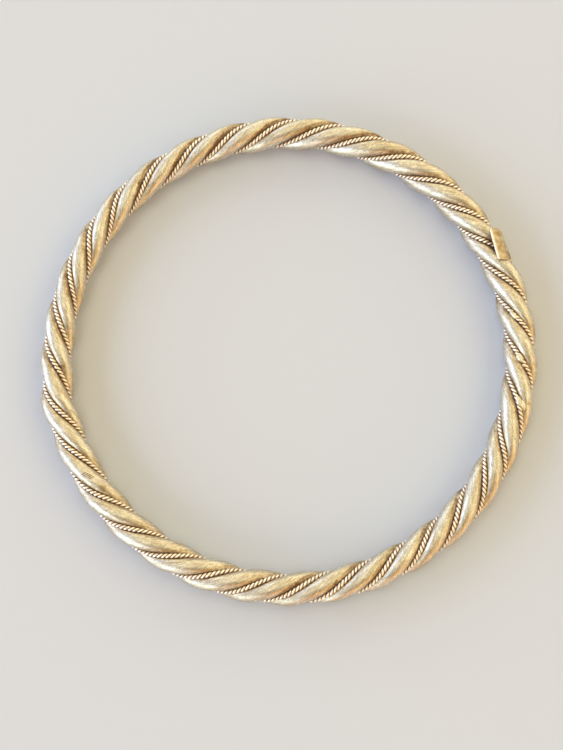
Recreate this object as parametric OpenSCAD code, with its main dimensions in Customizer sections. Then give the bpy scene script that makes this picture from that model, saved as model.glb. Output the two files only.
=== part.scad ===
// Rigid bangle of twisted silver wire, lying on its side. Three thick, slightly flattened wires are laid
// together as a left-handed rope and closed into a ring. A fine two-ply cord lies in each of the three
// grooves, and a small flat plate bridges one groove on the outer upper side.
// The origin is under the middle of the ring, on the surface that the bangle lies on, with +Z up.

/* [Ring] */
// Diameter of the ring over the rope's centre line
ring_d = 65; // [60:0.5:75]
// Full turns that the rope's twist makes round the ring
turns = 11; // [9:1:12]

/* [Strands] */
// Diameter of the rope over the crests of its strands
rope_d = 4.76; // [4.76:0.02:5]
// Thickness of a strand, from its crest towards the rope's centre
strand_t = 2.1; // [1.95:0.01:2.12]
// Width of a strand, from groove to groove
strand_w = 2.44; // [2.2:0.02:2.46]

/* [Fine cords] */
// Overall diameter of a fine cord
cord_d = 0.6; // [0.5:0.01:0.62]
// Depth of a fine cord's outer side below the crests of the strands
cord_depth = 0.37; // [0.32:0.01:0.39]
// Height of a solder spot over the cord that it closes
solder_rise = 0.16; // [0:0.01:0.2]
// Length of a solder spot along the ring
solder_l = 1.6; // [1:0.1:3]

/* [Plate] */
// Length of the plate, roughly along the rope
plate_l = 4.8; // [3:0.1:5]
// Width of the plate, across the rope
plate_w = 2.1; // [1.5:0.1:2.3]
// Thickness of the plate
plate_t = 0.3; // [0.2:0.05:0.5]
// Clipped length at the plate's upper outer corner
plate_clip = 0.5; // [0.2:0.05:0.8]

/* [Hidden] */

// Columns of the three tables: the angle round the ring, from +X towards +Y, and the value there
ANGLE = 0;
VALUE = 1;
// Out-of-roundness: how far the rope's centre line lies outside a true circle, in mm
bend_rows = [
    [0, 0.04], [14, -0.02], [30, -0.22], [45, -0.14], [68, -0.12], [80, -0.04], [97, -0.05], [130, -0.02],
    [165, -0.05], [184, 0.12], [192, 0.5], [201, 0.1], [240, 0], [262, 0.02], [281, 0.14], [300, 0.06],
    [316, 0.1], [340, 0.02]
];
// Uneven lay: how far the twist runs ahead of an even one, in degrees
lay_rows = [
    [0, 4], [10, 12], [22, 19], [40, 32], [60, 29], [78, 25], [97, 14], [118, 15], [140, -3], [160, 1],
    [182, 4], [206, -5], [218, -23], [242, -26], [268, -21], [290, -20], [310, -6], [328, -6], [338, 10],
    [350, -6]
];
// Uneven girth: how much thicker the rope is than its diameter, in mm
girth_rows = [
    [0, 0], [98, 0], [113, -0.26], [160, -0.3], [178, -0.12], [190, 0], [205, -0.12], [240, -0.06],
    [262, -0.06], [284, -0.16], [302, -0.15], [320, -0.04], [346, 0]
];
// Twist of the first groove where the ring's angle is 0, from outwards (0) towards up (90)
first_groove = 116;
// Angle round the ring of the solder spot on each fine cord
solder_at = [358, 346, 9];

// Offsets from the bent ring's own centre that put the middle of its box over the origin
ring_x = 0.065;
ring_y = 0.024;

strands = 3;
lay_step = 360 / strands;
// Rings along a swept wire for each turn of the twist, and sides of a strand and of a fine cord
rings_per_turn = 14;
strand_sides = 10;
cord_sides = 6;
rings = rings_per_turn * turns;

strand_offset = rope_d / 2 - strand_t / 2;
cord_offset = rope_d / 2 - cord_depth - cord_d / 2;

// Place of the plate: its angle round the ring, the direction that its face looks from outwards (0) towards
// up (90), the slant of its long side and its shift up the face
plate_at = 26.7;
plate_face = 57.7;
plate_slant = -17.9;
plate_shift = 0.3;
inner_clip = 0.15;
// How far the plate's outer side runs inwards at its lower end and at its upper end
plate_taper = [0.05, 0.22];

silver = "#cbc3ad";
dark_silver = "#8f8268";
plate_silver = "#c9b384";

// Smooth step between two rows of a table
function eased(s) = s * s * (3 - 2 * s);

// The last row of a table that doesn't lie past an angle
function row_at(rows, angle, i = 0) =
    i + 1 < len(rows) && rows[i + 1][ANGLE] <= angle ? row_at(rows, angle, i + 1) : i;

// Value of a table at an angle from 0 to 360, where the first row follows the last
function value_at(rows, angle) =
    let (
        i = row_at(rows, angle),
        is_last = i == len(rows) - 1,
        from = rows[i],
        to = is_last ? rows[0] + [360, 0] : rows[i + 1],
        s = (angle - from[ANGLE]) / (to[ANGLE] - from[ANGLE])
    )
    from[VALUE] + (to[VALUE] - from[VALUE]) * eased(s);

// Twist of groove number k at an angle round the ring
function groove_twist(angle, k) = first_groove + turns * angle + value_at(lay_rows, angle) + lay_step * k;

// Point at an angle round the ring, from its outward and upward distances to the rope's centre line where the
// rope has its full girth
function rope_point(angle, out, up) =
    let (
        girth = 1 + value_at(girth_rows, angle) / rope_d,
        r = ring_d / 2 + value_at(bend_rows, angle) + out * girth
    )
    [ring_x + r * cos(angle), ring_y + r * sin(angle), rope_d / 2 + up * girth];

// One section of a wire: an oval of half-thickness a and half-width b, which lies off the rope's centre
// line by a distance, in the direction of the twist
function wire_section(angle, twist, off, a, b, sides) = [
    for (j = [0 : sides - 1])
    let (
        turn = 360 * j / sides,
        crest = off + a * cos(turn),
        flank = b * sin(turn)
    )
    rope_point(angle, crest * cos(twist) - flank * sin(twist), crest * sin(twist) + flank * cos(twist))
];

// Two triangles for each side of a closed sweep, between one ring of points and the next
function sweep_faces(count, sides) = [
    for (i = [0 : count - 1], j = [0 : sides - 1])
    let (
        here = i * sides,
        next = ((i + 1) % count) * sides,
        j2 = (j + 1) % sides
    )
    each [[here + j, here + j2, next + j], [here + j2, next + j2, next + j]]
];

// Share of the full solder spot at an angle, from 1 at its middle to 0 past its ends
function solder_share(angle, middle) =
    let (
        apart = abs((angle - middle + 540) % 360 - 180) * PI / 180 * ring_d / 2,
        s = max(0, 1 - apart / solder_l)
    )
    eased(s);

module closed_sweep(points, sides) {
    polyhedron(points, sweep_faces(len(points) / sides, sides), convexity = 10);
}

// A thick strand, whose crest lies midway between groove k and the next one
module strand(k) {
    points = [
        for (i = [0 : rings - 1])
        let (angle = 360 * i / rings)
        each wire_section(angle, groove_twist(angle, k) + lay_step / 2, strand_offset,
                          strand_t / 2, strand_w / 2, strand_sides)
    ];
    color(silver) closed_sweep(points, strand_sides);
}

// The fine cord in groove k, with the solder spot that closes it raised on its outer side
module fine_wire(k) {
    points = [
        for (i = [0 : rings - 1])
        let (
            angle = 360 * i / rings,
            rise = solder_rise * solder_share(angle, solder_at[k])
        )
        each wire_section(angle, groove_twist(angle, k), cord_offset + rise / 2,
                          (cord_d + rise) / 2, cord_d / 2, cord_sides)
    ];
    color(dark_silver) closed_sweep(points, cord_sides);
}

// Outline of the plate about its middle: long side along X, with its outer side at -Y and its upper end at +X
module plate_outline() {
    x = plate_l / 2;
    y = plate_w / 2;
    low = -y + plate_taper[0];
    high = -y + plate_taper[1];
    polygon([
        [-x, low + inner_clip], [-x + inner_clip, low], [x - plate_clip, high], [x, high + plate_clip],
        [x, y - inner_clip], [x - inner_clip, y], [-x + inner_clip, y], [-x, y - inner_clip]
    ]);
}

module tag_plate() {
    color(plate_silver)
    translate([ring_x, ring_y, rope_d / 2])
    rotate([0, 0, plate_at])
    translate([ring_d / 2 + value_at(bend_rows, plate_at), 0, 0])
    rotate([0, -plate_face, 0])
    translate([rope_d / 2, 0, plate_shift])
    rotate([plate_slant, 0, 0])
    rotate([90, 0, 90])
    linear_extrude(plate_t)
    plate_outline();
}

strand(0);  // strand_a
strand(1);  // strand_b
strand(2);  // strand_c
fine_wire(0);  // fine_wire_a
fine_wire(1);  // fine_wire_b
fine_wire(2);  // fine_wire_c
tag_plate();
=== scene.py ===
"""Looks of a rigid bangle of twisted silver wire, lying on a plain floor.

Three thick strands are laid as a left-handed rope and closed into a ring. Each of the three grooves holds
a fine cord of two plies, closed by a spot of solder, and a small flat plate bridges one groove. Every
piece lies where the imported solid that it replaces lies.
"""

import logging
import math
from dataclasses import dataclass
from enum import Enum
from typing import Callable

import bmesh
import bpy
import numpy as np
from mathutils import Euler, Matrix, Vector, noise


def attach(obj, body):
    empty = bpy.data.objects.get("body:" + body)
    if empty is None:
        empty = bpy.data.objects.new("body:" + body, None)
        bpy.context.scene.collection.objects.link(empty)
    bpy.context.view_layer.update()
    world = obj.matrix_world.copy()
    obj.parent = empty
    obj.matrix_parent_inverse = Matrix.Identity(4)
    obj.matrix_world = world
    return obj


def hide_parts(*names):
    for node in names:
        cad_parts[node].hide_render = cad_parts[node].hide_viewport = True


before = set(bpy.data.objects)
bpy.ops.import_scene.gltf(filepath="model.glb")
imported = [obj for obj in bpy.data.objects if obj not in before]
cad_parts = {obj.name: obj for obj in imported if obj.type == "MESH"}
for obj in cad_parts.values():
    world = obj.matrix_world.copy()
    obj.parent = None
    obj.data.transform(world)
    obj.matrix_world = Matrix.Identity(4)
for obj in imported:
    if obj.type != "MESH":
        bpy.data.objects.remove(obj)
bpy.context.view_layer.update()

LOG = logging.getLogger("bangle")
MM = 0.001
BODY = "root"
UV_NAME = "wire_uv"
# Mesh layer of tarnish, which on the wires also holds painted shade and light
TARNISH_AND_SHADE_NAME = "tarnish"
# Distance in metres under which two points of a seam are one
WELD = 1e-7

Span = tuple[float, float]
Triple = tuple[float, float, float]
Colour = Triple
Stop = tuple[float, Colour]
Array = np.ndarray
Socket = bpy.types.NodeSocket
Material = bpy.types.Material
# Gives places in mm, and tarnish with any painted shade and light, for shares of a wire's length and of
# the way round it
Shape = Callable[[Array, Array], tuple[Array, Array]]


class Slot(Enum):
    """Material slots of the record."""

    SILVER = "silver"
    CORD = "fine_cord"
    PLATE = "plate"


def eased(share: Array) -> Array:
    """Turns a share from 0 to 1 into a smooth step, and holds it at 0 or 1 outside that range."""
    held = np.clip(share, 0.0, 1.0)
    return held * held * (3.0 - 2.0 * held)


def stepped(value: Array, begin: float, full: float) -> Array:
    """Gives a smooth step from 0, where a value is at begin, to 1, where it is at full."""
    return eased((value - begin) / (full - begin))


def unit(vectors: Array) -> Array:
    """Scales each row of an array to length 1."""
    return vectors / np.linalg.norm(vectors, axis=-1, keepdims=True)


@dataclass(frozen=True)
class RingTable:
    """Values at angles round the ring, joined by smooth steps. The first row follows the last.

    Attributes:
        rows: pairs of an angle in degrees, from +X towards +Y, and the value there.
    """

    rows: tuple[Span, ...]

    def at(self, angle: Array) -> Array:
        """Reads the table.

        Args:
            angle: angles round the ring in degrees, of any size.

        Returns:
            The value at each angle.
        """
        angles = np.array([row[0] for row in self.rows] + [self.rows[0][0] + 360.0])
        values = np.array([row[1] for row in self.rows] + [self.rows[0][1]])
        turned = np.mod(angle, 360.0)
        row = np.clip(np.searchsorted(angles, turned, side="right") - 1, 0, len(self.rows) - 1)
        share = (turned - angles[row]) / (angles[row + 1] - angles[row])
        return values[row] + (values[row + 1] - values[row]) * eased(share)


@dataclass(frozen=True)
class Rope:
    """Course of the rope that the bangle is made of, in mm and degrees.

    A twist is a direction across the rope, from outwards (0) towards up (90).

    Attributes:
        ring_d: diameter of the ring over the rope's centre line.
        turns: full turns of the twist round the ring.
        strands: number of strands, and of the grooves between them.
        rope_d: diameter over the crests of the strands.
        strand_t: thickness of a strand, from its crest towards the rope's centre.
        strand_w: width of a strand, from groove to groove.
        cord_d: overall diameter of a fine cord.
        cord_depth: depth of a cord's outer side below the crests.
        first_groove: twist of the first groove where the ring's angle is 0.
        ring_x: offset of the ring's own centre along X.
        ring_y: offset of the ring's own centre along Y.
        bend: how far the centre line lies outside a true circle.
        girth: how much thicker the rope is than its diameter.
        lay: how far the twist runs ahead of an even one.
    """

    ring_d: float = 65.0
    turns: int = 11
    strands: int = 3
    rope_d: float = 4.76
    strand_t: float = 2.1
    strand_w: float = 2.44
    cord_d: float = 0.6
    cord_depth: float = 0.37
    first_groove: float = 116.0
    ring_x: float = 0.065
    ring_y: float = 0.024
    bend: RingTable = RingTable((
        (0, 0.04), (14, -0.02), (30, -0.22), (45, -0.14), (68, -0.12), (80, -0.04), (97, -0.05),
        (130, -0.02), (165, -0.05), (184, 0.12), (192, 0.5), (201, 0.1), (240, 0), (262, 0.02),
        (281, 0.14), (300, 0.06), (316, 0.1), (340, 0.02),
    ))
    girth: RingTable = RingTable((
        (0, 0), (98, 0), (113, -0.26), (160, -0.3), (178, -0.12), (190, 0), (205, -0.12),
        (240, -0.06), (262, -0.06), (284, -0.16), (302, -0.15), (320, -0.04), (346, 0),
    ))
    lay: RingTable = RingTable((
        (0, 4), (10, 12), (22, 19), (40, 32), (60, 29), (78, 25), (97, 14), (118, 15), (140, -3),
        (160, 1), (182, 4), (206, -5), (218, -23), (242, -26), (268, -21), (290, -20), (310, -6),
        (328, -6), (338, 10), (350, -6),
    ))

    @property
    def lay_step(self) -> float:
        """Twist from one groove to the next."""
        return 360.0 / self.strands

    @property
    def strand_offset(self) -> float:
        """Distance of a strand's middle from the rope's centre line."""
        return self.rope_d / 2 - self.strand_t / 2

    @property
    def cord_offset(self) -> float:
        """Distance of a fine cord's middle from the rope's centre line."""
        return self.rope_d / 2 - self.cord_depth - self.cord_d / 2

    def groove_twist(self, angle: Array, groove: int) -> Array:
        """Gives the twist of a groove, in degrees, at angles round the ring."""
        even = self.first_groove + self.turns * angle + self.lay_step * groove
        return even + self.lay.at(angle)

    def place(self, angle: Array, twist: Array, crest: Array, flank: Array) -> Array:
        """Finds points of the rope.

        Args:
            angle: angles round the ring in degrees.
            twist: twists in degrees.
            crest: distances from the rope's centre line along the twist, where it has its full girth.
            flank: distances at right angles to it, towards a larger twist.

        Returns:
            One row of X, Y and Z in mm for each point.
        """
        across, about = np.radians(angle), np.radians(twist)
        girth = 1.0 + self.girth.at(angle) / self.rope_d
        out = girth * (crest * np.cos(about) - flank * np.sin(about))
        up = girth * (crest * np.sin(about) + flank * np.cos(about))
        radius = self.ring_d / 2 + self.bend.at(angle) + out
        return np.stack([
            self.ring_x + radius * np.cos(across),
            self.ring_y + radius * np.sin(across),
            self.rope_d / 2 + up,
        ], axis=-1)


@dataclass(frozen=True)
class CordCourse:
    """Course of one fine cord along its groove, with a frame that turns with the groove.

    Attributes:
        rope: the rope whose groove it follows.
        groove: number of the groove.
        samples: stretches in which its length is measured.
        nudge: small angle, in degrees, over which its direction is measured.
    """

    rope: Rope
    groove: int
    samples: int = 6000
    nudge: float = 0.01

    def centre(self, angle: Array) -> Array:
        """Gives the cord's middle at angles round the ring."""
        twist = self.rope.groove_twist(angle, self.groove)
        return self.rope.place(angle, twist, np.full_like(angle, self.rope.cord_offset), 0.0 * angle)

    def measured(self) -> tuple[Array, Array]:
        """Measures the cord.

        Returns:
            Angles round the ring and the cord's length in mm up to each.
        """
        angle = np.linspace(0.0, 360.0, self.samples + 1)
        steps = np.linalg.norm(np.diff(self.centre(angle), axis=0), axis=1)
        return angle, np.concatenate([[0.0], np.cumsum(steps)])

    def frame_at(self, angle: Array) -> tuple[Array, Array, Array]:
        """Gives the cord's frame.

        Args:
            angle: angles round the ring in degrees.

        Returns:
            Unit vectors along the cord, outwards and sideways, one row for each angle.
        """
        twist = self.rope.groove_twist(angle, self.groove)
        along = unit(self.centre(angle + self.nudge) - self.centre(angle - self.nudge))
        inner = self.rope.place(angle, twist, 0.0 * angle, 0.0 * angle)
        out = self.centre(angle) - inner
        out = unit(out - along * np.sum(out * along, axis=-1, keepdims=True))
        return along, out, np.cross(along, out)


@dataclass(frozen=True)
class Patch:
    """Part of a wire's surface whose faces are cut smaller.

    Attributes:
        along: where it begins and ends, in shares of the wire's length.
        around: where it begins and ends, in shares of the way round the wire.
        cuts: cuts through each face, each way.
    """

    along: Span
    around: Span = (0.38, 0.62)
    cuts: int = 4

    def holds(self, point: Vector) -> bool:
        """Says whether a point of the flat grid lies in the patch."""
        return self.along[0] <= point.x <= self.along[1] and self.around[0] <= point.y <= self.around[1]


@dataclass(frozen=True)
class WireSkin:
    """Skin of a closed wire, made from a flat grid whose long side is laid along the wire.

    Attributes:
        rings: faces along the wire.
        sides: faces round the wire.
    """

    rings: int
    sides: int

    def flat(self, finer: Patch | None) -> bmesh.types.BMesh:
        """Makes the flat grid, from 0 to 1 each way.

        Args:
            finer: a patch whose faces are cut smaller, if any.

        Returns:
            The grid, with a UV layer that keeps the flat places.
        """
        bm = bmesh.new()
        bm.loops.layers.uv.new(UV_NAME)
        bmesh.ops.create_grid(
            bm, x_segments=self.rings, y_segments=self.sides, size=0.5,
            matrix=Matrix.Translation((0.5, 0.5, 0.0)), calc_uvs=True,
        )
        if finer is not None:
            edges = [e for e in bm.edges if all(finer.holds(v.co) for v in e.verts)]
            bmesh.ops.subdivide_edges(bm, edges=edges, cuts=finer.cuts, use_grid_fill=True)
        return bm

    def laid(self, shape: Shape, finer: Patch | None = None) -> bmesh.types.BMesh:
        """Lays the grid along a wire and closes both its seams.

        Args:
            shape: the wire's shape.
            finer: a patch whose faces are cut smaller, if any.

        Returns:
            The closed skin in metres, with its normals outwards and a layer of tarnish that can also hold
            painted shade and light.
        """
        bm = self.flat(finer)
        tarnish = bm.verts.layers.float.new(TARNISH_AND_SHADE_NAME)
        flat = np.array([v.co.xy for v in bm.verts])
        places, darkness = shape(flat[:, 0], flat[:, 1])
        for vert, place, dark in zip(bm.verts, (places * MM).tolist(), darkness.tolist()):
            vert.co = place
            vert[tarnish] = dark
        bmesh.ops.remove_doubles(bm, verts=bm.verts, dist=WELD)
        bmesh.ops.recalc_face_normals(bm, faces=bm.faces)
        for face in bm.faces:
            face.smooth = True
        return bm


def placed(name: str, data: bpy.types.ID) -> bpy.types.Object:
    """Makes an object and links it to the scene.

    Args:
        name: name of the object.
        data: its mesh, light or camera.

    Returns:
        The object.
    """
    made = bpy.data.objects.new(name, data)
    bpy.context.scene.collection.objects.link(made)
    return made


def finished_piece(name: str, bm: bmesh.types.BMesh, nodes: tuple[str, ...],
                   materials: list[Material]) -> bpy.types.Object:
    """Turns a bmesh into a piece of the bangle.

    Args:
        name: name of the piece.
        bm: its mesh, which is freed.
        nodes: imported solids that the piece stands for.
        materials: its finishes, in the order of its faces' material numbers.

    Returns:
        The piece, which rides on the bangle's one body.
    """
    mesh = bpy.data.meshes.new(name)
    bm.to_mesh(mesh)
    bm.free()
    for material in materials:
        mesh.materials.append(material)
    piece = placed(name, mesh)
    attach(piece, BODY)
    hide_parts(*nodes)
    LOG.info("%s: %d faces, stands for %s", name, len(mesh.polygons), ", ".join(nodes))
    return piece


@dataclass(frozen=True)
class Mottling:
    """Soft spots or streaks of a finish, made by noise.

    Attributes:
        per_mm: how closely they lie, to the millimetre.
        detail: how many finer sizes of spot are added.
        low: noise where a spot begins.
        high: noise where it is full.
        tarnish: tarnish that a full spot adds.
        relief: depth in mm of its bumps.
        stretch: how much closer the spots lie along each axis.
        turn: turn of the pattern about each axis, in radians.
    """

    per_mm: float
    detail: float
    low: float = 0.3
    high: float = 0.7
    tarnish: float = 0.0
    relief: float = 0.0
    stretch: Triple = (1.0, 1.0, 1.0)
    turn: Triple = (0.0, 0.0, 0.0)


class Graph:
    """A node tree, with short calls that add nodes and join their sockets."""

    def __init__(self, owner: Material | bpy.types.World) -> None:
        """Starts an empty node tree.

        Args:
            owner: the material or the surroundings that it is for.
        """
        self.owner = owner
        self.noises: dict[Mottling, Socket] = {}
        owner.use_nodes = True
        self.tree = owner.node_tree
        self.tree.nodes.clear()

    def node(self, kind: str, settings: dict | None = None, **inputs: object) -> bpy.types.Node:
        """Adds a node.

        Args:
            kind: the node's type, without its ShaderNode prefix.
            settings: properties of the node.
            inputs: socket names, with _ for a space, and a value or a socket for each.

        Returns:
            The new node.
        """
        made = self.tree.nodes.new("ShaderNode" + kind)
        for key, value in (settings or {}).items():
            setattr(made, key, value)
        for key, value in inputs.items():
            self.feed(made.inputs[key.replace("_", " ")], value)
        return made

    def feed(self, socket: Socket, value: object) -> None:
        """Sets an input socket to a value, or joins another node's output to it.

        Args:
            socket: the input socket.
            value: the value or the output.
        """
        if isinstance(value, Socket):
            self.tree.links.new(value, socket)
        elif isinstance(value, tuple) and len(value) == 3 and socket.type == "RGBA":
            socket.default_value = (*value, 1.0)
        else:
            socket.default_value = value

    def math(self, operation: str, first: object, second: object = 0.0, third: object = 0.0,
             clamp: bool = False) -> Socket:
        """Adds a Math node.

        Args:
            operation: its operation.
            first: its first input.
            second: its second input.
            third: its third input.
            clamp: whether it holds the result between 0 and 1.

        Returns:
            Its output.
        """
        made = self.node("Math", {"operation": operation, "use_clamp": clamp})
        for socket, value in zip(made.inputs, (first, second, third)):
            self.feed(socket, value)
        return made.outputs[0]

    def spread(self, value: Socket, low: float, high: float, to_low: float = 0.0,
               to_high: float = 1.0) -> Socket:
        """Stretches the range of a value, and clamps it there.

        Args:
            value: the value.
            low: the value that becomes to_low.
            high: the value that becomes to_high.
            to_low: the first end of the new range.
            to_high: the second end.

        Returns:
            The value in its new range.
        """
        made = self.node("MapRange", {"clamp": True}, Value=value, From_Min=low, From_Max=high,
                         To_Min=to_low, To_Max=to_high)
        return made.outputs["Result"]

    def ramp(self, value: Socket, stops: tuple[Stop, ...]) -> Socket:
        """Adds a colour ramp.

        Args:
            value: the place on the ramp.
            stops: places and colours.

        Returns:
            The colour there.
        """
        made = self.node("ValToRGB", Fac=value)
        elements = made.color_ramp.elements
        while len(elements) < len(stops):
            elements.new(0.5)
        for element, (position, colour) in zip(elements, stops):
            element.position = position
            element.color = (*colour, 1.0)
        return made.outputs["Color"]

    def body_place(self) -> Socket:
        """Gives the place on the bangle in mm."""
        source = self.node("TexCoord").outputs["Object"]
        return self.node("Mapping", Vector=source, Scale=(1 / MM, 1 / MM, 1 / MM)).outputs["Vector"]

    def wire_place(self, length: float, girth: float) -> Socket:
        """Gives the place on a wire's skin in mm, first along the wire and then round it."""
        source = self.node("UVMap", {"uv_map": UV_NAME}).outputs["UV"]
        return self.node("Mapping", Vector=source, Scale=(length, girth, 1.0)).outputs["Vector"]

    def tarnish_and_painted_shade(self) -> Socket:
        """Gives the tarnish that the mesh carries, together with the painted shade and light laid into the
        wires' meshes.
        """
        return self.node("Attribute", {"attribute_name": TARNISH_AND_SHADE_NAME}).outputs["Fac"]

    def lay(self, place: Socket, *layers: Mottling) -> None:
        """Makes the noise of some mottlings, which is about 0.5.

        Args:
            place: places in mm.
            layers: the mottlings.
        """
        for layer in layers:
            laid = self.node("Mapping", Vector=place, Rotation=layer.turn, Scale=layer.stretch)
            made = self.node("TexNoise", Vector=laid.outputs["Vector"], Scale=layer.per_mm,
                             Detail=layer.detail, Roughness=0.55)
            self.noises[layer] = made.outputs["Fac"]

    def shown(self, layer: Mottling, least: float = 0.0, most: float = 1.0) -> Socket:
        """Gives least between the spots of a mottling, and most where they are full."""
        return self.spread(self.noises[layer], layer.low, layer.high, least, most)

    def stained(self, amount: Socket, *layers: Mottling) -> Socket:
        """Adds the tarnish of some mottlings.

        Args:
            amount: the tarnish under them.
            layers: the mottlings.

        Returns:
            The tarnish, held between 0 and 1.
        """
        for layer in layers:
            amount = self.math("MULTIPLY_ADD", self.shown(layer), layer.tarnish, amount, clamp=True)
        return amount

    def bumped(self, *layers: Mottling) -> Socket:
        """Lays the relief of some mottlings one over the other.

        Args:
            layers: the mottlings.

        Returns:
            The bumped normal.
        """
        under = {}
        for layer in layers:
            bump = self.node("Bump", Height=self.noises[layer], Distance=layer.relief * MM, Strength=1.0,
                             **under)
            under = {"Normal": bump.outputs["Normal"]}
        return under["Normal"]

    def surface(self, colour: object, roughness: object, metallic: object, **others: object) -> Material:
        """Ends the tree in one Principled shader, whose inputs are values or sockets.

        Args:
            colour: base colour.
            roughness: roughness.
            metallic: metallic share.
            others: further inputs of the shader.

        Returns:
            The finished material.
        """
        shader = self.node("BsdfPrincipled", Base_Color=colour, Roughness=roughness, Metallic=metallic,
                           **others)
        self.node("OutputMaterial", Surface=shader.outputs["BSDF"])
        return self.owner


@dataclass(frozen=True)
class AgedSilver:
    """Satin silver of the thick strands: bright on the crests, straw to brown towards the grooves.

    Attributes:
        tones: colours from clean metal to full tarnish.
        size: length of a strand's crest line and the way round a strand, in mm.
        streaks: fine streaks along the wire.
        bands: broad bands along the wire.
        scuffs: short dull scuffs along the wire.
        mottle: spots in the mesh's tarnish and painted shade.
        blotches: wider spots in it.
        bloom: wide, faint stains.
        grain: fine grain.
        pits: small dark pits.
        uneven: share of the mesh's tarnish and painted shade outside the mottle's spots, and what they
            add.
        dulling: noise of the mottle where it begins to roughen the metal and where it is done.
        duller: roughness that it adds in full.
        graining: the same for the grain, which shades the colour.
        shades: shares of the colour left by full grain and by a full scuff.
        roughness: roughness of clean metal and of full tarnish.
        dull_from: tarnish from which the surface is less than all metal.
        dull_metal: metallic share of full tarnish.
    """

    tones: tuple[Stop, ...] = (
        (0.0, (0.98, 0.96, 0.92)),
        (0.2, (0.88, 0.81, 0.68)),
        (0.4, (0.75, 0.64, 0.48)),
        (0.65, (0.48, 0.35, 0.22)),
        (1.0, (0.24, 0.135, 0.075)),
    )
    size: Span = (262.0, 7.4)
    streaks: Mottling = Mottling(1.0, 4.0, 0.45, 0.7, tarnish=0.17, relief=0.024, stretch=(0.3, 4.5, 1.0))
    bands: Mottling = Mottling(1.0, 3.0, 0.42, 0.66, tarnish=0.2, relief=0.018, stretch=(0.12, 1.6, 1.0))
    scuffs: Mottling = Mottling(1.0, 3.0, 0.38, 0.62, stretch=(1.1, 5.0, 1.0))
    mottle: Mottling = Mottling(2.6, 5.0, 0.3, 0.7, relief=0.022)
    blotches: Mottling = Mottling(0.8, 4.0, 0.52, 0.68)
    bloom: Mottling = Mottling(0.42, 2.0, 0.35, 0.65, tarnish=0.14)
    grain: Mottling = Mottling(5.0, 2.0, 0.35, 0.7, tarnish=0.06, relief=0.014)
    pits: Mottling = Mottling(6.0, 1.0, 0.64, 0.72, tarnish=0.25)
    uneven: Span = (0.5, 0.7)
    dulling: Span = (0.35, 0.7)
    duller: float = 0.1
    graining: Span = (0.36, 0.64)
    shades: Span = (0.77, 0.72)
    roughness: Span = (0.36, 0.48)
    dull_from: float = 0.5
    dull_metal: float = 0.4

    def build(self) -> Material:
        """Makes the material.

        Returns:
            The material.
        """
        graph = Graph(bpy.data.materials.new("aged_silver"))
        graph.lay(graph.wire_place(*self.size), self.streaks, self.bands, self.scuffs)
        graph.lay(graph.body_place(), self.mottle, self.blotches, self.bloom, self.grain, self.pits)
        least, more = self.uneven
        uneven = graph.math("MULTIPLY_ADD", graph.shown(self.mottle), more, least)
        uneven = graph.math("ADD", uneven, graph.shown(self.blotches))
        amount = graph.math("MULTIPLY", graph.tarnish_and_painted_shade(), uneven)
        amount = graph.stained(amount, self.bloom, self.bands, self.streaks, self.pits, self.grain)
        by_grain, by_scuff = self.shades
        shade = graph.spread(graph.noises[self.grain], *self.graining, 1.0, by_grain)
        shade = graph.math("MULTIPLY", shade, graph.shown(self.scuffs, 1.0, by_scuff))
        tone = graph.ramp(amount, self.tones)
        scaled = graph.node("VectorMath", {"operation": "SCALE"}, Vector=tone, Scale=shade)
        dulled = graph.spread(graph.noises[self.mottle], *self.dulling)
        roughness = graph.spread(amount, 0.0, 1.0, *self.roughness)
        roughness = graph.math("MULTIPLY_ADD", dulled, self.duller, roughness)
        metal = graph.spread(amount, self.dull_from, 1.0, 1.0, self.dull_metal)
        normal = graph.bumped(self.bands, self.streaks, self.mottle, self.grain)
        return graph.surface(scaled.outputs["Vector"], roughness, metal, Normal=normal)


@dataclass(frozen=True)
class CordSilver:
    """Silver of the fine cords: bright where the plies stand out, dark brown between and under them.

    Attributes:
        tones: colours from clean metal to full tarnish.
        mottle: uneven spots of tarnish.
        roughness: roughness of clean metal and of full tarnish.
        dull_from: tarnish from which the surface is less than all metal.
        dull_metal: metallic share of full tarnish.
    """

    tones: tuple[Stop, ...] = (
        (0.0, (0.99, 0.94, 0.86)),
        (0.3, (0.88, 0.76, 0.62)),
        (0.6, (0.46, 0.29, 0.18)),
        (1.0, (0.24, 0.12, 0.07)),
    )
    mottle: Mottling = Mottling(4.0, 3.0, 0.35, 0.75, tarnish=0.15, relief=0.01)
    roughness: Span = (0.4, 0.7)
    dull_from: float = 0.4
    dull_metal: float = 0.4

    def build(self) -> Material:
        """Makes the material.

        Returns:
            The material.
        """
        graph = Graph(bpy.data.materials.new("cord_silver"))
        graph.lay(graph.body_place(), self.mottle)
        amount = graph.stained(graph.tarnish_and_painted_shade(), self.mottle)
        roughness = graph.spread(amount, 0.0, 1.0, *self.roughness)
        metal = graph.spread(amount, self.dull_from, 1.0, 1.0, self.dull_metal)
        normal = graph.bumped(self.mottle)
        return graph.surface(graph.ramp(amount, self.tones), roughness, metal, Normal=normal)


@dataclass(frozen=True)
class SolderSilver:
    """Paler, duller metal of the solder spots.

    Attributes:
        tones: colours from the bright skin to the stained hollows.
        mottle: uneven lumps of the skin.
        roughness: roughness of the bright skin and of the stained hollows.
    """

    tones: tuple[Stop, ...] = (
        (0.3, (0.9, 0.87, 0.78)),
        (0.55, (0.78, 0.72, 0.58)),
        (0.8, (0.4, 0.3, 0.18)),
    )
    mottle: Mottling = Mottling(4.5, 4.0, 0.3, 0.7, relief=0.05)
    roughness: Span = (0.3, 0.55)

    def build(self) -> Material:
        """Makes the material.

        Returns:
            The material.
        """
        graph = Graph(bpy.data.materials.new("solder_silver"))
        graph.lay(graph.body_place(), self.mottle)
        colour = graph.ramp(graph.noises[self.mottle], self.tones)
        roughness = graph.shown(self.mottle, *self.roughness)
        return graph.surface(colour, roughness, 1.0, Normal=graph.bumped(self.mottle))


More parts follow.
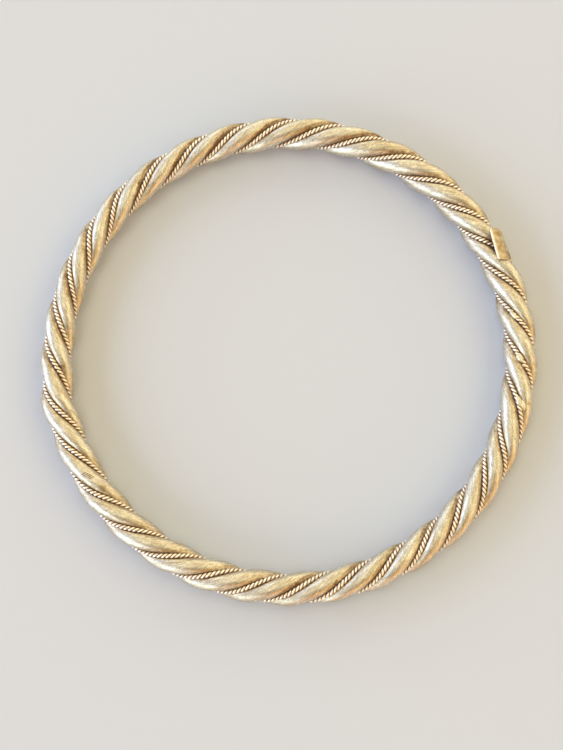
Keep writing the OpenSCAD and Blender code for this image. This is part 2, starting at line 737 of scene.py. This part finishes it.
@dataclass(frozen=True)
class PlateSilver:
    """Satin, gold-brown metal of the small plate, worn bright along its inner edge.

    Attributes:
        tones: colours from worn to stained.
        mottle: uneven spots of the stain.
        scratches: fine scratches across the face.
        uneven: share of the stain that shows between the spots and in them.
        dulling: noise of the mottle at the least roughness and at the greatest.
        roughness: the least roughness and the greatest.
    """

    tones: tuple[Stop, ...] = (
        (0.0, (0.86, 0.78, 0.64)),
        (0.3, (0.56, 0.49, 0.37)),
        (0.6, (0.45, 0.36, 0.23)),
        (1.0, (0.3, 0.2, 0.1)),
    )
    mottle: Mottling = Mottling(1.6, 5.0, 0.34, 0.66, relief=0.05)
    scratches: Mottling = Mottling(1.0, 5.0, relief=0.012, stretch=(7.0, 1.0, 2.0), turn=(0.3, 0.2, 0.5))
    uneven: Span = (0.4, 0.9)
    dulling: Span = (0.3, 0.7)
    roughness: Span = (0.28, 0.44)

    def build(self) -> Material:
        """Makes the material.

        Returns:
            The material.
        """
        graph = Graph(bpy.data.materials.new("plate_silver"))
        graph.lay(graph.body_place(), self.mottle, self.scratches)
        uneven = graph.shown(self.mottle, *self.uneven)
        amount = graph.math("MULTIPLY", graph.tarnish_and_painted_shade(), uneven, clamp=True)
        roughness = graph.spread(graph.noises[self.mottle], *self.dulling, *self.roughness)
        normal = graph.bumped(self.scratches, self.mottle)
        return graph.surface(graph.ramp(amount, self.tones), roughness, 1.0, Normal=normal)


@dataclass(frozen=True)
class PaleFloor:
    """Plain matt floor.

    Attributes:
        colour: its colour.
        roughness: its roughness.
    """

    colour: Colour = (0.59, 0.63, 0.76)
    roughness: float = 0.8

    def build(self) -> Material:
        """Makes the material."""
        graph = Graph(bpy.data.materials.new("pale_floor"))
        return graph.surface(self.colour, self.roughness, 0.0, Specular_IOR_Level=0.1)


@dataclass(frozen=True)
class Dents:
    """Shallow hollows in a strand, drawn between the least and most of their values in mm and degrees.

    Attributes:
        count: number of dents on each strand.
        seed: seed of the first strand's draws.
        angle: their places round the ring.
        around: their places round the strand, from the crest.
        length: half their lengths along the strand.
        width: half their widths.
        depth: their depths.
    """

    count: int = 70
    seed: int = 40
    angle: Span = (0.0, 360.0)
    around: Span = (-75.0, 75.0)
    length: Span = (0.5, 2.4)
    width: Span = (0.25, 0.6)
    depth: Span = (0.003, 0.012)


@dataclass(frozen=True)
class FileMarks:
    """A row of short file cuts across a strand, in mm and degrees.

    Attributes:
        strand: number of the strand.
        angle: angle round the ring of the row's middle.
        around: place of its middle round the strand, from the crest.
        count: number of cuts.
        pitch: distance between cuts.
        reach: length of a cut.
        depth: depth of a cut.
    """

    strand: int = 1
    angle: float = 212.3
    around: float = -5.0
    count: int = 6
    pitch: float = 0.34
    reach: float = 0.95
    depth: float = 0.045

    def cut(self, along: Array, aside: Array) -> Array:
        """Works out the depth of the cuts.

        Args:
            along: distances along the strand from the row's middle.
            aside: distances round the strand from it.

        Returns:
            Depth at each point.
        """
        wave = 0.5 + 0.5 * np.cos(2 * math.pi * along / self.pitch)
        half_row = self.count * self.pitch / 2
        inside = stepped(np.abs(along), half_row, half_row - self.pitch / 2)
        across = stepped(np.abs(aside), self.reach / 2, self.reach / 4)
        return self.depth * wave * inside * across

    def patch(self, ring_length: float) -> Patch:
        """Finds the part of the strand round the row.

        Args:
            ring_length: length of the ring.

        Returns:
            The patch whose faces are cut smaller.
        """
        row = self.count * self.pitch / ring_length
        middle = self.angle / 360.0
        return Patch((middle - row, middle + row))


@dataclass(frozen=True)
class DarkSpot:
    """A darker spot on the wires, as a ball in which their tarnish value is raised.

    Attributes:
        place: its middle in mm.
        radius: its radius in mm.
        amount: tarnish added at its middle, which darkens the wires there.
    """

    place: Triple
    radius: float
    amount: float

    def over(self, places: Array) -> Array:
        """Gives the darkening, as tarnish, that it adds at places in mm."""
        apart = np.linalg.norm(places - np.array(self.place), axis=-1)
        return self.amount * eased(1.0 - apart / self.radius)


# Painted shade at two spots beside the plate and a painted shadow under its lower outer end, then three
# darker spots in hollows of the rope
DARK_SPOTS = (
    DarkSpot((28.5, 15.8, 4.1), 1.1, 0.7),
    DarkSpot((28.9, 14.7, 4.1), 0.8, 0.5),
    DarkSpot((31.3, 13.4, 2.9), 1.0, 1.0),
    DarkSpot((-25.1, -19.0, 4.3), 1.0, 0.45),
    DarkSpot((-31.4, -1.8, 4.1), 0.9, 0.4),
    DarkSpot((33.27, -7.44, 4.13), 0.45, 0.7),
)


@dataclass
class Strands:
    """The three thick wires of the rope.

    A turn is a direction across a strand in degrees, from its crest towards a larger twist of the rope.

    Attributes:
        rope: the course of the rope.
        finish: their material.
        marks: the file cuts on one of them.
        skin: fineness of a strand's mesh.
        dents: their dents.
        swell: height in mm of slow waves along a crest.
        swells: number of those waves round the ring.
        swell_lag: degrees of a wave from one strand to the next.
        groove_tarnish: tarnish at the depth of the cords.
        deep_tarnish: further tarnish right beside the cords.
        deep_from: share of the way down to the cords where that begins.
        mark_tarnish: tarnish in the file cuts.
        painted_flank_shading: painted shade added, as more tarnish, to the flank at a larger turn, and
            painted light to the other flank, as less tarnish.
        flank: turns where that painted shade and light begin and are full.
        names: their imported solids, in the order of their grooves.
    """

    rope: Rope
    finish: Material
    marks: FileMarks = FileMarks()
    skin: WireSkin = WireSkin(rings=900, sides=36)
    dents: Dents = Dents()
    swell: float = 0.012
    swells: int = 23
    swell_lag: float = 70.0
    groove_tarnish: float = 0.33
    deep_tarnish: float = 0.1
    deep_from: float = 0.8
    mark_tarnish: float = 0.65
    # Painted shade and painted light on the flanks, for angles round the ring
    painted_flank_shading: RingTable = RingTable((
        (10, -0.1), (28, 0), (45, 0.14), (64, 0.24), (82, 0.46), (118, 0.43), (135, 0.32), (172, 0.26),
        (192, 0.07), (215, -0.02), (255, -0.04), (280, -0.24), (315, -0.2), (340, -0.06),
    ))
    flank: Span = (45.0, 75.0)
    names: tuple[str, ...] = ("strand_a", "strand_b", "strand_c")

    @property
    def ring_length(self) -> float:
        """Length of the ring's centre line in mm."""
        return math.pi * self.rope.ring_d

    @property
    def per_degree(self) -> float:
        """Length in mm of a strand's crest line for a degree of the ring."""
        return math.hypot(self.ring_length, self.rope.turns * math.pi * self.rope.rope_d) / 360.0

    @property
    def per_turn(self) -> float:
        """Way round a strand in mm for a degree of turn."""
        return (self.rope.strand_t + self.rope.strand_w) / 2 * math.pi / 360.0

    def shape_of(self, number: int) -> Shape:
        """Makes the function that lays out one strand.

        Args:
            number: number of the strand, whose crest is midway between its groove and the next one.

        Returns:
            Its places, and its tarnish with painted shade and light, for shares along and round it.
        """
        rope, marks = self.rope, self.marks

        def shape(along: Array, around: Array) -> tuple[Array, Array]:
            """Places points of the strand, with its crest at half of the way round.

            Args:
                along: shares of the way along it.
                around: shares of the way round it.

            Returns:
                Their places in mm and their tarnish, with painted shade and light.
            """
            angle = 360.0 * along
            turn = 360.0 * around - 180.0
            turned = np.radians(turn)
            cuts = 0.0 * angle
            if number == marks.strand:
                aside = (turn - marks.around) * self.per_turn
                cuts = marks.cut((angle - marks.angle) * self.per_degree, aside)
            dip = self.hollows(number, angle, turn) + cuts
            wave = np.sin(np.radians(self.swells * angle + self.swell_lag * number))
            swell = self.swell * wave * np.cos(turned)
            crest = rope.strand_offset + (rope.strand_t / 2 + swell - dip) * np.cos(turned)
            flank = (rope.strand_w / 2 - dip) * np.sin(turned)
            twist = rope.groove_twist(angle, number) + rope.lay_step / 2
            places = rope.place(angle, twist, crest, flank)
            # Tarnish towards the grooves, with painted shade and painted light on the flanks
            stained = self.tarnish(angle, turn, np.hypot(crest, flank))
            stained = stained + self.mark_tarnish * cuts / marks.depth
            # Darker spots, among them painted shade beside the plate and a painted shadow under it
            stained = stained + sum(stain.over(places) for stain in DARK_SPOTS)
            return places, np.clip(stained, 0.0, 1.0)

        return shape

    def hollows(self, number: int, angle: Array, turn: Array) -> Array:
        """Works out the depth of a strand's dents, which are drawn the same each time.

        Args:
            number: number of the strand.
            angle: angles round the ring in degrees.
            turn: turns round the strand.

        Returns:
            Depth in mm at each point.
        """
        dents = self.dents
        spans = (dents.angle, dents.around, dents.length, dents.width, dents.depth)
        draw = np.random.default_rng(dents.seed + number)
        depth = 0.0 * angle
        for _ in range(dents.count):
            at, around, length, width, most = (draw.uniform(*span) for span in spans)
            apart = (np.mod(angle - at + 180.0, 360.0) - 180.0) * self.per_degree / length
            aside = (turn - around) * self.per_turn / width
            depth = depth + most * eased(1.0 - np.hypot(apart, aside))
        return depth

    def tarnish(self, angle: Array, turn: Array, distance: Array) -> Array:
        """Works out the tarnish towards the grooves, with painted shade and painted light on the two
        flanks.

        Args:
            angle: angles round the ring in degrees.
            turn: turns round the strand.
            distance: distances from the rope's centre line in mm.

        Returns:
            Tarnish at each point, which can be less than 0 where painted light is laid on the lighter
            flank.
        """
        crest = self.rope.rope_d / 2
        share = np.clip((crest - distance) / (crest - self.rope.cord_offset), 0.0, 1.0)
        deep = stepped(share, self.deep_from, 1.0)
        # Painted shade on one flank and painted light on the other, following how the light falls round
        # the ring
        painted_shading = self.painted_flank_shading.at(angle) * np.sign(turn) * stepped(np.abs(turn), *self.flank)
        return self.groove_tarnish * share + self.deep_tarnish * deep + painted_shading

    def build(self) -> list[bpy.types.Object]:
        """Makes the three strands.

        Returns:
            Their objects.
        """
        pieces = []
        for number, name in enumerate(self.names):
            finer = self.marks.patch(self.ring_length) if number == self.marks.strand else None
            bm = self.skin.laid(self.shape_of(number), finer)
            pieces.append(finished_piece("laid_" + name, bm, (name,), [self.finish]))
        return pieces


@dataclass(frozen=True)
class SolderSpot:
    """A spot of solder on the fine cord that it closes, in mm and degrees.

    Attributes:
        angle: its angle round the ring.
        length: its length along the cord.
        width: its width across the cord.
        rise: its height over the cord.
        aside: how far it lies to the cord's side.
    """

    angle: float
    length: float
    width: float
    rise: float = 0.16
    aside: float = 0.0


@dataclass
class FineCords:
    """The three fine cords of two plies each, which lie in the grooves.

    Attributes:
        rope: the course of the rope.
        finish: material of the plies.
        solder: material of the solder spots.
        spots: the solder spots of each cord.
        ply_turns: turns of the plies along each cord, left-handed.
        cord_d: overall diameter of a cord, which rests against both strands.
        ply_d: diameter of one ply.
        skin: fineness of a ply's mesh.
        valley_tarnish: tarnish between the plies.
        valley: where that begins and is full, outside a ply's middle, in radii of the ply.
        sunk_tarnish: tarnish of the cord's inner half.
        sunk: where that begins and is full, over the cord's middle, in radii of the cord.
        lump: how much a solder spot swells and sinks, as a share of its size.
        lumps: lumps to the radius of a spot.
        names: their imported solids, in the order of their grooves.
    """

    rope: Rope
    finish: Material
    solder: Material
    spots: tuple[tuple[SolderSpot, ...], ...] = (
        (SolderSpot(358.1, 1.5, 0.95, aside=-0.12), SolderSpot(356.4, 0.6, 0.5, rise=0.05, aside=-0.25)),
        (SolderSpot(347.3, 1.5, 0.85, aside=0.15), SolderSpot(346.3, 1.5, 0.8, rise=0.0, aside=0.6)),
        (SolderSpot(9.0, 1.6, 0.7, aside=-0.1),),
    )
    ply_turns: tuple[int, ...] = (183, 177, 184)
    cord_d: float = 0.67
    ply_d: float = 0.34
    skin: WireSkin = WireSkin(rings=2200, sides=8)
    valley_tarnish: float = 0.8
    valley: Span = (0.75, 0.05)
    sunk_tarnish: float = 0.4
    sunk: Span = (0.62, 0.12)
    lump: float = 0.14
    lumps: float = 2.2
    names: tuple[str, ...] = ("fine_wire_a", "fine_wire_b", "fine_wire_c")

    def ply_shape(self, course: CordCourse, turns: int, start: float) -> Shape:
        """Makes the function that lays out one ply.

        Args:
            course: the cord's course.
            turns: turns of the ply along the cord.
            start: turn of the ply about the cord where the course begins, in degrees.

        Returns:
            Its places, and its tarnish with any painted shade near the plate, for shares along and round
            it.
        """
        angles, lengths = course.measured()
        length = lengths[-1]
        radius = self.ply_d / 2
        offset = self.cord_d / 2 - radius
        turning = 2 * math.pi * turns

        def shape(along: Array, around: Array) -> tuple[Array, Array]:
            """Places points of the ply, with its outermost line at half of the way round.

            Args:
                along: shares of the way along it.
                around: shares of the way round it.

            Returns:
                Their places in mm and their tarnish, with any painted shade near the plate.
            """
            angle = np.interp(along * length, lengths, angles)
            forward, out, side = course.frame_at(angle)
            turn = (math.radians(start) - turning * along)[:, None]
            away = out * np.cos(turn) + side * np.sin(turn)
            ahead = unit(length * forward - offset * turning * (side * np.cos(turn) - out * np.sin(turn)))
            across = np.cross(ahead, away)
            about = (2 * math.pi * around - math.pi)[:, None]
            stem = away * (offset + radius * np.cos(about)) + across * radius * np.sin(about)
            places = course.centre(angle) + stem
            outside = (np.linalg.norm(stem, axis=-1) - offset) / radius
            height = np.sum(stem * out, axis=-1) / (self.cord_d / 2)
            stained = self.valley_tarnish * stepped(outside, *self.valley)
            stained = stained + self.sunk_tarnish * stepped(height, *self.sunk)
            # Darker spots, among them painted shade beside the plate and a painted shadow under it
            stained = stained + sum(stain.over(places) for stain in DARK_SPOTS)
            return places, np.clip(stained, 0.0, 1.0)

        return shape

    def spot_mesh(self, bm: bmesh.types.BMesh, course: CordCourse, spot: SolderSpot) -> None:
        """Adds a lumpy spot of solder to a cord's mesh, in the second material.

        Args:
            bm: the cord's mesh.
            course: the cord's course.
            spot: the spot to add.
        """
        angle = np.array([spot.angle % 360.0])
        forward, out, side = (Vector(axis[0]) for axis in course.frame_at(angle))
        middle = Vector(course.centre(angle)[0]) + side * spot.aside
        axes = Matrix((forward, side, out)).transposed().to_4x4()
        height = self.cord_d / 2 + spot.rise
        sizes = Matrix.Diagonal((spot.length / 2, spot.width / 2, height, 1.0))
        known = set(bm.faces)
        made = bmesh.ops.create_icosphere(bm, subdivisions=4, radius=1.0)["verts"]
        for vert in made:
            vert.co *= 1.0 + self.lump * noise.noise(vert.co * self.lumps + Vector((spot.angle, 0.0, 0.0)))
        seat = Matrix.Scale(MM, 4) @ Matrix.Translation(middle) @ axes @ sizes
        bmesh.ops.transform(bm, matrix=seat, verts=made)
        for face in set(bm.faces) - known:
            face.material_index = 1
            face.smooth = True

    def build(self) -> list[bpy.types.Object]:
        """Makes the three cords.

        Returns:
            Their objects.
        """
        pieces = []
        finishes = [self.finish, self.solder]
        for number, name in enumerate(self.names):
            course = CordCourse(self.rope, number)
            cord = bmesh.new()
            for start in (0.0, 180.0):
                ply = self.skin.laid(self.ply_shape(course, self.ply_turns[number], start))
                held = bpy.data.meshes.new("ply")
                ply.to_mesh(held)
                ply.free()
                cord.from_mesh(held)
                bpy.data.meshes.remove(held)
            for spot in self.spots[number]:
                self.spot_mesh(cord, course, spot)
            pieces.append(finished_piece("twisted_" + name, cord, (name,), finishes))
        return pieces


@dataclass
class TagPlate:
    """The small flat plate that bridges one groove, with its upper outer corner clipped.

    Attributes:
        rope: the course of the rope.
        finish: its material.
        length: its length, roughly along the rope.
        width: its width, across the rope.
        thick: its thickness.
        clip: clipped length at its upper outer corner.
        inner_clip: clipped length at its other corners.
        at: its angle round the ring.
        face: the direction that its face looks, from outwards (0) towards up (90).
        slant: slant of its long side.
        shift: its shift up the face.
        taper: how much its outer side runs inwards at each of its two ends.
        edge: radius of its edges.
        worn: radius of its inner upper edge, which is worn most.
        crown: how far its long sides lie below its middle.
        bright: how far the worn metal reaches from its inner side and from its lower end.
        fade: distance over which the worn metal ends.
        sharp: angle between two faces, in radians, past which their edge is rounded.
        cuts: cuts across its length and across its width.
    """

    rope: Rope
    finish: Material
    length: float = 4.8
    width: float = 2.1
    thick: float = 0.3
    clip: float = 0.5
    inner_clip: float = 0.15
    at: float = 26.7
    face: float = 57.7
    slant: float = -17.9
    shift: float = 0.3
    taper: Span = (0.05, 0.22)
    edge: float = 0.05
    worn: float = 0.12
    crown: float = 0.07
    bright: Span = (0.3, 0.14)
    fade: float = 0.2
    sharp: float = 0.6
    cuts: tuple[int, int] = (24, 12)

    def outline(self) -> list[Span]:
        """Works out the plate's outline.

        Returns:
            Its corners about its middle, with the outer side at -Y.
        """
        x, y = self.length / 2, self.width / 2
        low, high = (-y + taper for taper in self.taper)
        outer, inner = self.clip, self.inner_clip
        return [
            (-x, low + inner), (-x + inner, low), (x - outer, high), (x, high + outer),
            (x, y - inner), (x - inner, y), (-x + inner, y), (-x, y - inner),
        ]

    def seat(self) -> Matrix:
        """Works out where the plate sits.

        Returns:
            The matrix that puts it from its own axes to its place, in mm.
        """
        rope = self.rope
        radius = rope.ring_d / 2 + float(rope.bend.at(np.array([self.at]))[0])
        return (
            Matrix.Translation((rope.ring_x, rope.ring_y, rope.rope_d / 2))
            @ Matrix.Rotation(math.radians(self.at), 4, "Z")
            @ Matrix.Translation((radius, 0.0, 0.0))
            @ Matrix.Rotation(-math.radians(self.face), 4, "Y")
            @ Matrix.Translation((rope.rope_d / 2, 0.0, self.shift))
            @ Matrix.Rotation(math.radians(self.slant), 4, "X")
            @ Euler((math.pi / 2, 0.0, math.pi / 2)).to_matrix().to_4x4()
        )

    def slab(self) -> bmesh.types.BMesh:
        """Makes the plate with its edges rounded.

        Returns:
            Its mesh in its own axes, in mm.
        """
        bm = bmesh.new()
        base = bm.faces.new([bm.verts.new((x, y, 0.0)) for x, y in self.outline()])
        grown = bmesh.ops.extrude_face_region(bm, geom=[base])["geom"]
        top = [item for item in grown if isinstance(item, bmesh.types.BMVert)]
        bmesh.ops.translate(bm, verts=top, vec=(0.0, 0.0, self.thick))
        side = self.width / 2 - self.edge
        inner = [e for e in bm.edges if all(v.co.z > 0 and v.co.y > side for v in e.verts)]
        self.rounded(bm, inner, self.worn)
        self.rounded(bm, [e for e in bm.edges if e.calc_face_angle() > self.sharp], self.edge)
        axes = ((1, 0, 0), (0, 1, 0))
        for axis, size, cuts in zip(axes, (self.length, self.width), self.cuts):
            for cut in np.linspace(-size / 2, size / 2, cuts + 2)[1:-1]:
                whole = bm.verts[:] + bm.edges[:] + bm.faces[:]
                bmesh.ops.bisect_plane(bm, geom=whole, plane_co=Vector(axis) * cut, plane_no=axis)
        return bm

    @staticmethod
    def rounded(bm: bmesh.types.BMesh, edges: list[bmesh.types.BMEdge], radius: float) -> None:
        """Rounds some edges of a mesh.

        Args:
            bm: the mesh.
            edges: its edges to round.
            radius: their radius.
        """
        bmesh.ops.bevel(
            bm, geom=edges, offset=radius, offset_type="OFFSET", segments=4, profile=0.5,
            affect="EDGES", material=-1, clamp_overlap=True,
        )

    def build(self) -> bpy.types.Object:
        """Makes the plate.

        Returns:
            Its object.
        """
        bm = self.slab()
        tarnish = bm.verts.layers.float.new(TARNISH_AND_SHADE_NAME)
        for vert in bm.verts:
            inward = (self.width / 2 - vert.co.y, self.length / 2 + vert.co.x)
            rim = max(reach - depth for reach, depth in zip(self.bright, inward)) / self.fade
            vert[tarnish] = 1.0 - float(eased(np.array(rim)))
            vert.co.z -= self.crown * (vert.co.y / (self.width / 2)) ** 2
        bmesh.ops.recalc_face_normals(bm, faces=bm.faces)
        bmesh.ops.transform(bm, matrix=Matrix.Scale(MM, 4) @ self.seat(), verts=bm.verts)
        for face in bm.faces:
            face.smooth = True
        return finished_piece("clipped_tag_plate", bm, ("tag_plate",), [self.finish])


@dataclass(frozen=True)
class SoftLight:
    """A rectangular soft light that faces the bangle.

    Attributes:
        name: its name.
        azimuth: its direction from the bangle, in degrees from +X towards +Y.
        power: its power in watts.
        colour: its colour.
        elevation: its height over the floor, in degrees.
        distance: its distance in metres.
        size: its width and height in metres.
    """

    name: str
    azimuth: float
    power: float
    colour: Colour
    elevation: float = 20.0
    distance: float = 2.0
    size: Span = (1.8, 1.36)

    def build(self) -> bpy.types.Object:
        """Makes the light.

        Returns:
            Its object.
        """
        lamp = bpy.data.lights.new(self.name, "AREA")
        lamp.shape = "RECTANGLE"
        lamp.size, lamp.size_y = self.size
        lamp.energy = self.power
        lamp.color = self.colour
        holder = placed(self.name, lamp)
        across, up = math.radians(self.azimuth), math.radians(self.elevation)
        towards = Vector((math.cos(across) * math.cos(up), math.sin(across) * math.cos(up), math.sin(up)))
        holder.location = towards * self.distance
        holder.rotation_euler = towards.to_track_quat("Z", "Y").to_euler()
        holder.visible_camera = False
        return holder


# Eight round the walls, two higher lamps and two ceilings
LIGHTS = (
    SoftLight("window_back", 135.0, 12.5, (0.71, 0.83, 1.0)),
    SoftLight("window", 180.0, 23.1, (0.67, 0.78, 1.0)),
    SoftLight("window_front", 225.0, 18.3, (0.86, 1.0, 0.99)),
    SoftLight("warm_front", 270.0, 5.6, (1.0, 0.41, 0.03)),
    SoftLight("warm_wall", 315.0, 10.0, (1.0, 0.5, 0.03)),
    SoftLight("side_wall", 0.0, 3.8, (1.0, 0.7, 0.15)),
    SoftLight("far_wall", 45.0, 10.4, (1.0, 0.8, 0.43)),
    SoftLight("back_wall", 90.0, 9.5, (1.0, 0.93, 0.51)),
    SoftLight("lamp", 0.0, 14.3, (1.0, 0.89, 0.56), 50.0, size=(2.0, 1.2)),
    SoftLight("back_lamp", 90.0, 4.6, (1.0, 0.56, 0.33), 50.0, size=(2.0, 1.2)),
    SoftLight("ceiling", 110.0, 8.9, (0.96, 1.0, 0.63), 74.0, 2.4, (1.44, 1.44)),
    SoftLight("near_ceiling", 200.0, 8.7, (1.0, 0.79, 0.55), 74.0, 2.4, (1.44, 1.44)),
)


@dataclass
class Studio:
    """Floor, lights and camera.

    Attributes:
        sky: colours of the surroundings from the horizon (0) to straight up (1).
        floor_reach: radius of the round floor in metres.
        lens: focal length of the camera for a 36 mm sensor.
        camera_place: place of the camera in mm.
        camera_turn: turn of the camera from straight down, in degrees about X, Y and Z.
    """

    sky: tuple[Stop, ...] = (
        (0.3, (0.4, 0.4, 0.39)),
        (0.6, (0.05, 0.05, 0.05)),
    )
    floor_reach: float = 1.2
    lens: float = 54.05
    camera_place: Triple = (3.755, -27.846, 158.45)
    camera_turn: Triple = (9.02, 1.67, 0.0)

    def build(self) -> None:
        """Makes the whole studio."""
        self.camera()
        self.floor()
        self.surroundings()
        bpy.context.scene.view_settings.view_transform = "Standard"
        for light in LIGHTS:
            light.build()
        LOG.info("studio: %d soft lights", len(LIGHTS))

    def camera(self) -> None:
        """Makes the camera, which looks down on the bangle from a little in front of its middle."""
        lens = bpy.data.cameras.new("camera")
        lens.lens = self.lens
        lens.clip_start, lens.clip_end = 0.005, 20.0
        holder = placed("camera", lens)
        holder.location = Vector(self.camera_place) * MM
        holder.rotation_euler = [math.radians(turn) for turn in self.camera_turn]
        bpy.context.scene.camera = holder

    def floor(self) -> None:
        """Makes the floor that the bangle lies on."""
        bm = bmesh.new()
        bmesh.ops.create_circle(bm, cap_ends=True, segments=96, radius=self.floor_reach)
        mesh = bpy.data.meshes.new("floor")
        bm.to_mesh(mesh)
        bm.free()
        mesh.materials.append(PaleFloor().build())
        floor = placed("floor", mesh)

    def surroundings(self) -> None:
        """Fills the surroundings with pale walls and a darker ceiling."""
        world = bpy.data.worlds.new("surroundings")
        graph = Graph(world)
        direction = graph.node("TexCoord").outputs["Generated"]
        height = graph.node("SeparateXYZ", Vector=direction).outputs["Z"]
        background = graph.node("Background", Color=graph.ramp(height, self.sky))
        graph.node("OutputWorld", Surface=background.outputs["Background"])
        bpy.context.scene.world = world


def main() -> None:
    """Builds the bangle and its studio."""
    logging.basicConfig(level=logging.INFO, format="%(name)s: %(message)s")
    rope = Rope()
    Strands(rope, AgedSilver().build()).build()
    FineCords(rope, CordSilver().build(), SolderSilver().build()).build()
    TagPlate(rope, PlateSilver().build()).build()
    Studio().build()


if __name__ == "__main__":
    main()
